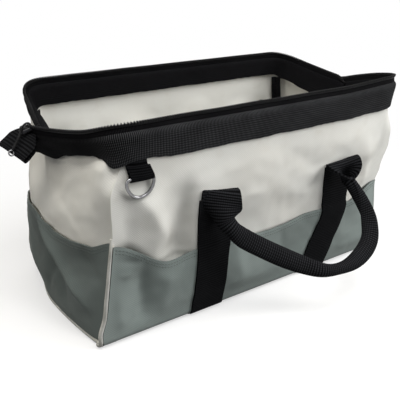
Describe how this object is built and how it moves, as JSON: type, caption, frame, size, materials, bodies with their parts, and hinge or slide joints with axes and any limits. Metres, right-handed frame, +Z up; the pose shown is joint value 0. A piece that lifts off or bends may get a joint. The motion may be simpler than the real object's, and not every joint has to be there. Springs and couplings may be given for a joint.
{
  "type": "tool bag",
  "caption": "Wide-mouth canvas tool bag with a hinged wire-frame zip mouth, outside pockets, webbing carry handles and D-rings.",
  "frame": {"origin": "centre of the underside of the base", "axes": "+X along the bag's length, -Y towards the front wall, +Z up"},
  "size_m": [0.4893, 0.3554, 0.2241],
  "materials": {
    "canvas_white": "matte woven",
    "canvas_grey": "matte woven",
    "webbing_black": "matte ribbed",
    "zip_black": "satin",
    "zip_metal": "black enamel",
    "piping_grey": "matte",
    "board_grey": "matte",
    "steel": "polished"
  },
  "bodies": {
    "base": {"base_panel": "canvas_grey", "base_board": "board_grey", "left_base_strap": "webbing_black", "left_end_canvas": "canvas_white", "left_end_pocket": "canvas_grey", "left_base_piping": "piping_grey", "right_base_strap": "webbing_black", "right_end_canvas": "canvas_white", "right_end_pocket": "canvas_grey", "right_base_piping": "piping_grey"},
    "front_wall": {"front_canvas": "canvas_white", "front_pocket": "canvas_grey", "front_mouth_band": "webbing_black", "front_zip_tape": "zip_black", "front_zip_teeth": "zip_black", "front_left_strap": "webbing_black", "front_right_strap": "webbing_black", "front_left_piping": "piping_grey", "front_right_piping": "piping_grey", "front_left_binding": "webbing_black", "front_right_binding": "webbing_black", "front_ring_loop": "webbing_black"},
    "rear_wall": {"rear_canvas": "canvas_white", "rear_pocket": "canvas_grey", "rear_mouth_band": "webbing_black", "rear_zip_tape": "zip_black", "rear_zip_teeth": "zip_black", "rear_left_strap": "webbing_black", "rear_right_strap": "webbing_black", "rear_left_piping": "piping_grey", "rear_right_piping": "piping_grey", "rear_left_binding": "webbing_black", "rear_right_binding": "webbing_black", "rear_ring_loop": "webbing_black"},
    "front_frame": {"front_frame_wire": "steel", "front_left_arm_band": "webbing_black", "front_right_arm_band": "webbing_black", "left_hinge_rivet": "steel", "right_hinge_rivet": "steel"},
    "rear_frame": {"rear_frame_wire": "steel", "rear_left_arm_band": "webbing_black", "rear_right_arm_band": "webbing_black"},
    "left_zip_end": {"left_zip_tab": "webbing_black", "zip_slider": "zip_metal"},
    "right_zip_end": {"right_zip_tab": "webbing_black"},
    "pull": {"zip_pull": "zip_metal"},
    "front_grip": {"front_handle": "webbing_black"},
    "rear_grip": {"rear_handle": "webbing_black"},
    "front_ring": {"front_d_ring": "steel"},
    "rear_ring": {"rear_d_ring": "steel"}
  },
  "joints": [
    {"name": "front_mouth", "type": "hinge", "parent": "base", "child": "front_wall", "pos_m": [0, -0.092, 0.003], "axis": [-1, 0, 0], "range_deg": [0, 24.6], "deforming": ["left_end_canvas", "left_end_pocket", "right_end_canvas", "right_end_pocket"]},
    {"name": "rear_mouth", "type": "hinge", "parent": "base", "child": "rear_wall", "pos_m": [0, 0.092, 0.003], "axis": [1, 0, 0], "range_deg": [0, 24.6]},
    {"name": "front_frame_fold", "type": "hinge", "parent": "front_wall", "child": "front_frame", "pos_m": [0, -0.09642, 0.20998], "axis": [-1, 0, 0], "range_deg": [0, 46.3]},
    {"name": "rear_frame_fold", "type": "hinge", "parent": "rear_wall", "child": "rear_frame", "pos_m": [0, 0.09642, 0.20998], "axis": [1, 0, 0], "range_deg": [0, 46.3]},
    {"name": "left_zip_end_level", "type": "hinge", "parent": "front_frame", "child": "left_zip_end", "pos_m": [-0.2151, 0, 0.18698], "axis": [1, 0, 0], "range_deg": [0, 70.9]},
    {"name": "right_zip_end_level", "type": "hinge", "parent": "front_frame", "child": "right_zip_end", "pos_m": [0.2151, 0, 0.18698], "axis": [1, 0, 0], "range_deg": [0, 70.9]},
    {"name": "zip_pull_swing", "type": "hinge", "parent": "left_zip_end", "child": "pull", "pos_m": [-0.2301, 0, 0.18436], "axis": [0, 1, 0], "range_deg": [0, 100]},
    {"name": "front_handle_swing", "type": "hinge", "parent": "front_wall", "child": "front_grip", "pos_m": [0, -0.10298, 0.14269], "axis": [-1, 0, 0], "range_deg": [-25, 140]},
    {"name": "rear_handle_swing", "type": "hinge", "parent": "rear_wall", "child": "rear_grip", "pos_m": [0, 0.10298, 0.14269], "axis": [1, 0, 0], "range_deg": [-25, 140]},
    {"name": "front_ring_swing", "type": "hinge", "parent": "front_wall", "child": "front_ring", "pos_m": [-0.16, -0.10257, 0.17273], "axis": [-1, 0, 0], "range_deg": [0, 140]},
    {"name": "rear_ring_swing", "type": "hinge", "parent": "rear_wall", "child": "rear_ring", "pos_m": [0.16, 0.10257, 0.17273], "axis": [1, 0, 0], "range_deg": [0, 140]}
  ],
  "couplings": [
    {"joint": "rear_mouth", "follows": "front_mouth", "ratio": 1},
    {"joint": "front_frame_fold", "follows": "front_mouth", "ratio": 1.8811},
    {"joint": "rear_frame_fold", "follows": "front_mouth", "ratio": 1.8811},
    {"joint": "left_zip_end_level", "follows": "front_mouth", "ratio": 2.8811},
    {"joint": "right_zip_end_level", "follows": "front_mouth", "ratio": 2.8811}
  ]
}
